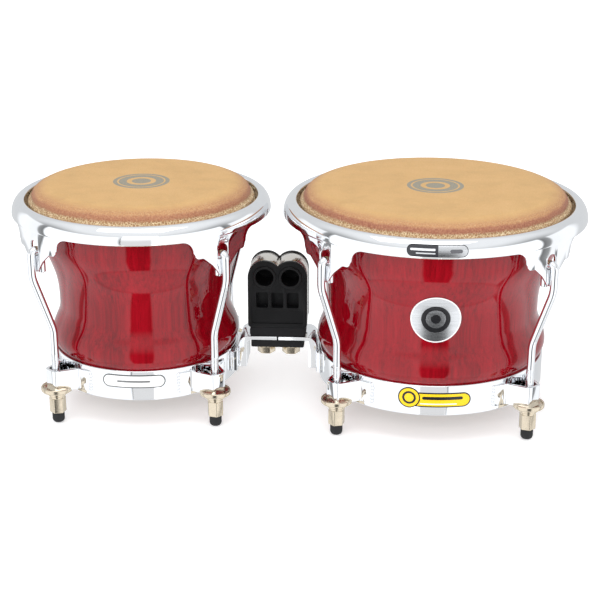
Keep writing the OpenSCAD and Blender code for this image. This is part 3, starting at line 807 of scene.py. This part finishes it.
def hoop_mesh(drum):
    """Bottom hoop: a flat band with four welded lug loops, each weld a row of small puddles."""
    r, wall = drum.hoop_r, 2.2
    corners = [(r - wall, HOOP_BOTTOM), (r, HOOP_BOTTOM), (r, HOOP_TOP), (r - wall, HOOP_TOP)]
    band = spun(rounded(corners, 0.9, 4, closed=True), 256)
    nose = drum.foot_r + 3 + 3.2 - 1.25
    tab = [((r + 0.8) * cos(a / r), (r + 0.8) * sin(a / r)) for a in (22, 19, 16, 13.4)]
    path = tab + [(r + 0.9, 11.6), (nose, 5.3)]
    path += [(x, -y) for x, y in path[::-1]]
    radii = [0, 0, 0, 1.0, 3.0, 2.4, 2.4, 3.0, 1.0, 0, 0, 0]
    loop = plate(ribbon(rounded(path, radii, 5), 2.4), [], drum.lug_top - drum.lug_bottom, 0.55, 2, 40)
    shifted(loop, 0, 0, drum.lug_bottom)
    weld = bmesh.new()
    bmesh.ops.create_uvsphere(weld, u_segments=12, v_segments=8, radius=1.0)
    loops = []
    for i in range(1, 5):
        loops.append(copy_of(loop, drum.quarter(i)))
        for side in (-1, 1):
            at = drum.quarter(i) @ Matrix.Rotation(side * 22.4 / r, 4, "Z")
            for k in range(6):
                spot = Matrix.Translation((r + 0.3, 0.35 * sin(k * 2.1), drum.lug_bottom + 1.6 + 2.7 * k))
                loops.append(copy_of(weld, at @ spot @ Matrix.Diagonal((1.3, 1.5, 1.9, 1))))
    loop.free()
    weld.free()
    return moved(joined(band, *loops), drum.place)


def washer_mesh(drum, width):
    """Cup washer: a short neck that opens to a shallow dish with a rolled brim."""
    r, low, floor, bore_r = width / 2, 23.2, 28.55, 3.6
    neck = [(bore_r, low + 0.2), (bore_r + 0.3, low), (7.0, low), (7.4, low + 0.4), (7.4, low + 1.9)]
    dish = [(8.0, low + 2.7), (9.4, low + 3.1)] + arc(r - 1.6, low + 4.9, 1.6, -75, 0, 6)
    brim = arc(r - 0.75, 29.9, 0.75, 0, 180, 6) + [(r - 1.9, 29.2), (r - 3.4, floor)]
    seat = [(4.0, floor), (bore_r, floor - 0.3)]
    return shifted(spun(neck + dish + brim + seat, 64), drum.foot_r, 0, 0)


def nut_mesh(drum, across):
    """Long hexagon nut with a turned collar on top and chamfered corners below."""
    low, high, flange, bore_r = 8.8, 23.0, 1.8, 3.3
    corner, collar_r = across / 2 / cos(pi / 6), across / 2 - 0.1
    bm = bmesh.new()
    bmesh.ops.create_cone(bm, cap_ends=True, cap_tris=False, segments=6, radius1=corner, radius2=corner,
                          depth=high - low - flange)
    shifted(bm, 0, 0, (high + low - flange) / 2)
    soften(bm, 0.55, 3)
    brim = arc(collar_r, high - 1.5, 0.5, -90, 0, 3) + arc(collar_r, high - 0.4, 0.5, 0, 90, 3)
    collar = spun([(bore_r, high - 2.2)] + brim + [(bore_r, high)], 48)
    mouth = spun([(bore_r, low + 0.6), (4.6, low + 0.6), (5.0, low - 0.02), (bore_r + 0.1, low - 0.02)], 48)
    return shifted(joined(bm, collar, mouth), drum.foot_r, 0, 0)


def foot_mesh(drum, width):
    """Rubber tip with a rounded sole, open above for the rod's end."""
    r, hollow_r, sole, top = width / 2, 3.0, 2.6, 8.4
    section = [(0, 0), (2.2, 0)] + arc(r - 2.9, 3.1, 2.9, -80, 0, 9, 3.1)
    section += [(r, top - 0.8), (r - 0.25, top - 0.2), (r - 0.6, top)]
    section += [(hollow_r, top), (hollow_r, sole), (0, sole)]
    return shifted(spun(section, 40, closed=False), drum.foot_r, 0, 0)


# ---------------------------------------------------------------- the bracket

LOBE_R, BORE_GAP, BORE_R, BORE_Z = 13.5, 20.5, 7.1, 107.5
BLOCK_DEPTH, PLATE_T, BLOCK_BOTTOM = 30.0, 3.0, 65.0
TAB_FACE = 31.6


def lobes(inset, bottom, corner=1.6):
    """The block's face: straight sides up to two round lobes."""
    r = LOBE_R - inset
    dip = sqrt(max(r * r - (BORE_GAP / 2) ** 2, 0.0))
    left = arc(-BORE_GAP / 2, BORE_Z, r, 180, degrees(atan2(dip, BORE_GAP / 2)), 20)
    right = [(-x, z) for x, z in left[::-1]][1:]
    side = BORE_GAP / 2 + r
    foot = rounded([(side, BORE_Z), (side, bottom), (-side, bottom), (-side, BORE_Z)], corner, 4)[1:-1]
    return left + right + foot


def box_outline(x, z, width, height, corner):
    w, h = width / 2, height / 2
    return rounded([(x - w, z - h), (x + w, z - h), (x + w, z + h), (x - w, z + h)], corner, 3, closed=True)


def block_mesh():
    """Two lobed face plates over a core: raised bore rims, a ribbed band of windows and a blank panel."""
    windows = [box_outline(k * 12.2, 88.3, 9.6, 13.0, 1.2) for k in (-1, 0, 1)]
    panel = box_outline(0, 74.1, 41.6, 11.4, 0.8)
    bores = [arc(s * BORE_GAP / 2, BORE_Z, BORE_R, 0, 351, 39) for s in (-1, 1)]
    core_t, floor_t, panel_t = 14.2, 4.6, 2.2

    def slab(outline, holes, depth, y, *edge):
        return shifted(standing(plate(outline, holes, depth, *edge), depth), 0, y, 0)

    boss = spun([(BORE_R - 0.01, -1.2)] + arc(BORE_R + 0.5, 0.5, 0.5, 180, 90, 3)
                + arc(BORE_R + 1.5, 0.35, 0.65, 90, 0, 3) + [(BORE_R + 2.15, -1.2)], 56)
    face_holes, face_y = bores + windows + [panel], (BLOCK_DEPTH - PLATE_T) / 2
    parts = [slab(lobes(2.0, BLOCK_BOTTOM), bores, core_t, 0, 0)]
    parts += [slab(lobes(0, BLOCK_BOTTOM, 2.6), face_holes, PLATE_T, side * face_y, 0.6, 3) for side in (-1, 1)]
    for side in (-1, 1):
        # a web closes the bores just inside the back face
        holes = windows + (bores if side < 0 else [])
        parts.append(slab(lobes(2.0, BLOCK_BOTTOM), holes, floor_t, side * 9.4, 0))
        parts.append(slab(box_outline(0, 74.1, 42.4, 12.0, 0.8), [], panel_t, side * 13.0, 0))
        for s in (-1, 1):
            at = Matrix.Translation((s * BORE_GAP / 2, side * BLOCK_DEPTH / 2, BORE_Z))
            parts.append(copy_of(boss, at @ Matrix.Rotation(radians(-90 * side), 4, "X")))
    boss.free()
    return shifted(joined(*parts), BLOCK_X, 0, 0)


def strap_mesh():
    """Plated strap over both lobes and down the block's sides."""
    low, gap, thick, depth = 66.2, 0.2, 1.7, 22.0

    def line(inset):
        side = BORE_GAP / 2 + LOBE_R - inset
        return [(-side, low)] + [p for p in lobes(inset, low, 0.1) if p[1] >= BORE_Z - 0.01] + [(side, low)]

    outline = line(gap) + line(gap + thick)[::-1]
    return standing(plate(outline, [], depth, 0.3, 2, 50), depth, BLOCK_X)


def bar_mesh(low, high, half, corner):
    """A slab as deep as the block, with rounded ends."""
    outline = rounded([(-half, low), (half, low), (half, high), (-half, high)], corner, 5, closed=True)
    return standing(plate(outline, [], BLOCK_DEPTH, 0.5, 3), BLOCK_DEPTH, BLOCK_X)


def arm_mesh(side):
    """Arm: flat under the block, then turned down to a thick tab against the hoop."""
    start, low, high, tab_low, tab_t, depth = 0.5, 54.4, 57.3, 31.0, 6.8, 32.0
    tab_in = TAB_FACE - tab_t
    path = [(start, low), (tab_in, low), (tab_in, tab_low), (TAB_FACE, tab_low), (TAB_FACE, high), (start, high)]
    outline = rounded(path, [0.4, 3.5, 1.2, 1.2, 7.5, 0.4], 7, closed=True)
    return standing(plate([(side * x, z) for x, z in outline], [], depth, 0.7, 3), depth, BLOCK_X)


def clip_mesh(drum, side):
    """Ribbed clip round the hoop, drawn with the block towards +X."""
    face = abs(BLOCK_X - drum.x) - TAB_FACE - 0.02
    r_in, r_out, rib_r = drum.hoop_r + 0.02, face - 0.15, face + 2.2
    end, rib, flat = (degrees(width / drum.hoop_r) for width in (23.0, 19.5, 13.0))
    marks = ((end, r_out), (rib + 1.5, r_out), (rib + 1.2, rib_r), (rib - 1.2, rib_r), (rib - 1.5, r_out),
             (flat + 0.8, r_out))
    half = [(r * cos(radians(a)), r * sin(radians(a))) for a, r in marks] + [(face, face * sin(radians(flat)))]
    outline = half + [(x, -y) for x, y in half[::-1]] + arc(0, 0, r_in, -end, end, 16)
    mirror = Matrix.Scale(side, 4, (1, 0, 0))
    return moved(plate(outline, [], 17.0, 0.35, 2), drum.place @ mirror @ Matrix.Translation((0, 0, 29.5)))


def clamp_bolts_mesh():
    """Two hexagon bolts from below, each with its washer."""
    across, head_z, head_h, shank_r, end_z = 13.0, 41.7, 6.0, 4.0, 78.0
    corner = across / 2 / cos(pi / 6)
    head = bmesh.new()
    bmesh.ops.create_cone(head, cap_ends=True, cap_tris=False, segments=6, radius1=corner, radius2=corner,
                          depth=head_h)
    moved(head, Matrix.Rotation(radians(30), 4, "Z"))
    soften(head, 0.6, 3)

    def brim(z, start):
        return arc(7.25, z, 0.35, start, start + 90, 3)

    rings = brim(45.1, -90) + brim(46.0, 0) + [(7.0, 46.4)] + brim(46.8, -90) + brim(47.6, 0)
    washer = spun([(shank_r + 0.1, 44.75)] + rings + [(shank_r + 0.1, 47.95)], 48)
    profile = [(0, 42), (shank_r, 42), (shank_r, end_z - 0.6), (shank_r - 0.6, end_z), (0, end_z)]
    shank = spun(profile, 32, closed=False)
    bolt = joined(shifted(head, 0, 0, head_z), washer, shank)
    pair = [copy_of(bolt, Matrix.Translation((BLOCK_X + s * 10.1, 0, 0))) for s in (-1, 1)]
    bolt.free()
    return joined(*pair)


# ---------------------------------------------------------------- operators

class BONGO_OT_shells(Operator):
    """Turn the two waisted wooden shells"""

    bl_idname = "bongo.shells"
    bl_label = "Shells"

    def execute(self, context):
        lacquer = lacquered_wood(context.scene.finishes.lacquer[:])
        bare = bare_wood()
        for name in DRUM_NAMES:
            piece(shell_mesh(Drum(name)), name + "_shell_wood", ROOT, [lacquer, bare],
                  [name + "_shell"], 40)
        return {"FINISHED"}


class BONGO_OT_heads(Operator):
    """Stretch the two wrapped skins over the shells"""

    bl_idname = "bongo.heads"
    bl_label = "Heads"

    def execute(self, context):
        tint = context.scene.finishes.hide[:]
        thread = moulded("stitch_thread", (0.72, 0.62, 0.40), 0.6, 0.8, 2600.0)
        for name in DRUM_NAMES:
            drum, ring = Drum(name), name + "_tension_ring"
            reddening = 0.62 if name == "small" else 0.8
            finish = hide(name + "_hide", tint, drum.x, 22.3, HEAD_TOP - 8.4, reddening)
            hidden = [name + "_skin", name + "_flesh_hoop"]
            head = piece(head_mesh(drum), name + "_head", None, [finish], hidden, 50)
            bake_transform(head)
            if name == "small":
                piece(stitches_mesh(drum), "small_head_stitches", ring, [thread], (), 60)
        return {"FINISHED"}


class BONGO_OT_rims(Operator):
    """Press the two rims with their rolled tops and slotted ears"""

    bl_idname = "bongo.rims"
    bl_label = "Rims"

    def execute(self, context):
        chrome = plated("rim_chrome", context.scene.finishes.chrome[:], 0.025, 0.06)
        for name in DRUM_NAMES:
            drum = Drum(name)
            roll = moved(spun(rim_roll_profile(drum), 256), drum.place)
            piece(joined(roll, ear_mesh(drum)), name + "_rim_plate", name + "_tension_ring", [chrome],
                  [name + "_rim"], 34)
        return {"FINISHED"}


class BONGO_OT_hardware(Operator):
    """Make the tuning hooks, cup washers, nuts and rubber feet"""

    bl_idname = "bongo.hardware"
    bl_label = "Tuning hardware"

    def execute(self, context):
        finishes, sizes = context.scene.finishes, context.scene.hardware
        rod_d, washer_d = sizes.rod_d / MM, sizes.washer_d / MM
        nut_af, foot_d = sizes.nut_af / MM, sizes.foot_d / MM
        chrome = plated("rod_chrome", finishes.chrome[:], 0.04, 0.09, 160.0)
        nickel = plated("warm_nickel", finishes.nickel[:], 0.16, 0.30, 220.0)
        rubber = moulded("foot_rubber", (0.016, 0.016, 0.017), 0.55, 0.75, 2200.0, 0.00015)
        for name in DRUM_NAMES:
            drum = Drum(name)
            ring = name + "_tension_ring"
            kinds = (
                ("hook", "_rod", rod_mesh(drum, rod_d / 2), ring, "chrome", chrome),
                ("washer", "_cup", washer_mesh(drum, washer_d), ROOT, "warm_nickel", nickel),
                ("nut", "_hex", nut_mesh(drum, nut_af), None, "warm_nickel", nickel),
                ("foot", "_tip", foot_mesh(drum, foot_d), ring, "black_rubber", rubber),
            )
            for kind, ending, bm, body, slot, material in kinds:
                for i in range(1, 5):
                    node = f"{name}_{kind}_{i}"
                    one = copy_of(bm, drum.lug(i))
                    piece(one, node + ending, body or f"{node}_body", [material], [node], 36)
                bm.free()
        return {"FINISHED"}


class BONGO_OT_hoops(Operator):
    """Make the bottom hoops with their lug loops"""

    bl_idname = "bongo.hoops"
    bl_label = "Bottom hoops"

    def execute(self, context):
        chrome = plated("hoop_chrome", context.scene.finishes.chrome[:], 0.03, 0.07)
        for name in DRUM_NAMES:
            band = hoop_mesh(Drum(name))
            piece(band, name + "_hoop_band", ROOT, [chrome], [name + "_hoop"], 34)
        return {"FINISHED"}


class BONGO_OT_bracket(Operator):
    """Make the mounting block, its strap, pad, plate and bolts, and the two arms and clips"""

    bl_idname = "bongo.bracket"
    bl_label = "Bracket"

    def execute(self, context):
        finishes = context.scene.finishes
        black = moulded("block_plastic", (0.0035, 0.0035, 0.004), 0.34, 0.46, 1500.0)
        pad = moulded("pad_rubber", (0.005, 0.005, 0.006), 0.45, 0.6, 1900.0)
        chrome = plated("bracket_chrome", finishes.chrome[:], 0.06, 0.14, 140.0)
        nickel = plated("bolt_nickel", finishes.nickel[:], 0.18, 0.30, 220.0)
        strap = plated("strap_nickel", (0.80, 0.76, 0.70), 0.10, 0.20, 120.0)
        kinds = (
            (block_mesh(), "block", "_moulding", "black_plastic", black),
            (strap_mesh(), "block_strap", "_band", "chrome", strap),
            (bar_mesh(57.4, 64.9, 22.4, 2.2), "block_pad", "_slab", "black_plastic", pad),
            (bar_mesh(48.0, 54.3, 21.4, 1.3), "clamp_plate", "_bar", "black_plastic", pad),
        )
        for bm, node, ending, slot, material in kinds:
            piece(bm, node + ending, ROOT, [material], [node])
        piece(clamp_bolts_mesh(), "clamp_bolt_pair", ROOT, [nickel], ["clamp_bolts"])
        for name, side in (("small", 1), ("large", -1)):
            piece(arm_mesh(-side), name + "_arm_cast", ROOT, [chrome], [name + "_arm"])
            piece(clip_mesh(Drum(name), side), name + "_clip_band", ROOT, [chrome], [name + "_clip"])
            finish_node(name + "_screws", nickel)
        finish_node("clamp_nuts", nickel)
        return {"FINISHED"}


class BONGO_OT_labels(Operator):
    """Finish the badge and the foil labels with plain marks"""

    bl_idname = "bongo.labels"
    bl_label = "Badge and labels"

    def execute(self, context):
        aluminium, yellow, white = (0.78, 0.79, 0.81), (0.90, 0.60, 0.0), (0.83, 0.83, 0.82)
        satin = (0.22, 0.30)
        finish_node("shell_badge", badge_face("badge_disc", shell_badge_marks, aluminium, 1.0, (0.16, 0.26)))
        finish_node("rim_badge", badge_face("rim_badge_foil", rim_badge_marks, aluminium, 1.0, (0.18, 0.28)))
        finish_node("large_hoop_label", badge_face("yellow_foil", large_label_marks, yellow, 0.0, satin))
        finish_node("small_hoop_label", badge_face("white_foil", small_label_marks, white, 0.0, satin))
        return {"FINISHED"}


def lamp(name, place, size, watts):
    """A soft square lamp that faces the drums."""
    light = bpy.data.lights.new(name, "AREA")
    light.shape = "RECTANGLE"
    light.size, light.size_y = size
    light.energy = watts
    obj = bpy.data.objects.new(name, light)
    bpy.context.scene.collection.objects.link(obj)
    obj.location = place
    obj.rotation_euler = (Vector((0, 0, 0.1)) - Vector(place)).to_track_quat("-Z", "Y").to_euler()
    return obj


def pale_floor():
    """A wide paper floor with a faint glow of its own, which the gloss doesn't mirror."""
    bm = bmesh.new()
    bmesh.ops.create_grid(bm, x_segments=1, y_segments=1, size=6)
    mesh = bpy.data.meshes.new("floor")
    bm.to_mesh(mesh)
    bm.free()
    obj = bpy.data.objects.new("floor", mesh)
    bpy.context.scene.collection.objects.link(obj)
    obj.location.z = -0.0004
    obj.visible_glossy = False
    m, shade = Nodes("floor_paper"), (0.90, 0.90, 0.90)
    m.set(Base_Color=shade, Roughness=0.9, Emission_Color=shade, Emission_Strength=0.45)
    mesh.materials.append(m.material)


def bright_plate():
    """The wide plated pieces, which the fill lamp brightens."""
    plates = bpy.data.collections.get("bright_plate") or bpy.data.collections.new("bright_plate")
    for kind in ("rim_plate", "hoop_band", "arm_cast"):
        for name in DRUM_NAMES:
            plates.objects.link(bpy.data.objects[f"{name}_{kind}"])
    return plates


def studio_world(world):
    """Grey studio with a wide bright panel each side of the camera, seen mostly by the gloss."""
    world.use_nodes = True
    n = Nodes.on(world.node_tree)
    split = n.tree.nodes.new("ShaderNodeSeparateXYZ")
    n.feed(split.inputs[0], n.tree.nodes.new("ShaderNodeTexCoord").outputs["Generated"])
    x, y, z = split.outputs
    turn = n.math("ARCTAN2", x, n.times(y, -1.0))
    left = n.times(n.soft(turn, -0.17, -0.24), n.soft(turn, -1.50, -1.44))
    right = n.times(n.soft(turn, 0.26, 0.33), n.soft(turn, 1.48, 1.42))
    wide = n.math("ABSOLUTE", turn)
    sides = n.times(n.soft(wide, 1.58, 1.64), n.soft(wide, 2.30, 2.10), 0.75)
    tall = n.times(n.soft(z, 0.46, 0.36), n.soft(z, -0.80, -0.76))
    panels = n.times(n.math("MAXIMUM", n.math("MAXIMUM", left, right), sides), tall)
    table = n.soft(z, -0.76, -0.80)
    dim = n.span(n.soft(y, -0.25, 0.35), 0.0, 1.0, 0.10, 0.74)
    high = n.soft(n.math("SUBTRACT", z, n.times(y, 0.35)), 0.30, 0.88)
    room = n.either(high, dim, 0.98)
    backdrop = n.tree.nodes["Background"]
    n.feed(backdrop.inputs["Strength"], n.either(table, n.either(panels, room, 1.28), 1.05))
    backdrop.inputs["Color"].default_value = (0.965, 0.985, 1.0, 1.0)


class BONGO_OT_stage(Operator):
    """Set the floor, the soft lights and the camera"""

    bl_idname = "bongo.stage"
    bl_label = "Stage"

    def execute(self, context):
        scene = context.scene
        scene.world = bpy.data.worlds.new("studio")
        studio_world(scene.world)
        scene.view_settings.view_transform = "Standard"
        pale_floor()
        lamp("top_softbox", (-0.1, -0.45, 1.6), (1.3, 1.0), 6)
        lamp("front_softbox", (-0.1, -1.7, 0.95), (1.6, 0.7), 14).visible_glossy = False
        wide, tall, glow = 0.86, 2.1, 0.72
        fill = lamp("plate_fill", (0.06, -1.45, -0.05), (wide, tall), glow * pi * wide * tall)
        fill.light_linking.receiver_collection = bright_plate()
        camera = bpy.data.cameras.new("camera")
        camera.lens = 87.31
        camera.sensor_width = 36
        obj = bpy.data.objects.new("camera", camera)
        scene.collection.objects.link(obj)
        obj.location = (0.0589, -1.1080, 0.48153)
        aim = Vector((0.0015, 0, 0.08361)) - Vector(obj.location)
        roll = Matrix.Rotation(radians(0.11), 3, "Z")
        obj.rotation_euler = (aim.to_track_quat("-Z", "Y").to_matrix() @ roll).to_euler()
        scene.camera = obj
        return {"FINISHED"}


STEPS = (BONGO_OT_shells, BONGO_OT_heads, BONGO_OT_rims, BONGO_OT_hardware, BONGO_OT_hoops, BONGO_OT_bracket,
         BONGO_OT_labels, BONGO_OT_stage)


class BONGO_PT_panel(Panel):
    """Lists the sizes, finishes and steps"""

    bl_label = "Bongo drums"
    bl_idname = "BONGO_PT_panel"
    bl_space_type = "VIEW_3D"
    bl_region_type = "UI"
    bl_category = "Bongos"

    def draw(self, context):
        scene = context.scene
        for group in (scene.small_drum, scene.large_drum, scene.hardware, scene.finishes):
            box = self.layout.box()
            for name in group.__annotations__:
                box.prop(group, name)
        for step in STEPS:
            self.layout.operator(step.bl_idname)


GROUPS = (("small_drum", SmallDrumSizes), ("large_drum", LargeDrumSizes), ("hardware", HardwareSizes),
          ("finishes", Finishes))


def register():
    for name, group in GROUPS:
        bpy.utils.register_class(group)
        setattr(bpy.types.Scene, name, PointerProperty(type=group))
    for cls in (*STEPS, BONGO_PT_panel):
        bpy.utils.register_class(cls)


def unregister():
    for cls in (BONGO_PT_panel, *reversed(STEPS)):
        bpy.utils.unregister_class(cls)
    for name, group in reversed(GROUPS):
        delattr(bpy.types.Scene, name)
        bpy.utils.unregister_class(group)


def main():
    register()
    for step in STEPS:
        family, verb = step.bl_idname.split(".")
        getattr(getattr(bpy.ops, family), verb)()
    bpy.context.view_layer.update()


if __name__ == "__main__":
    main()
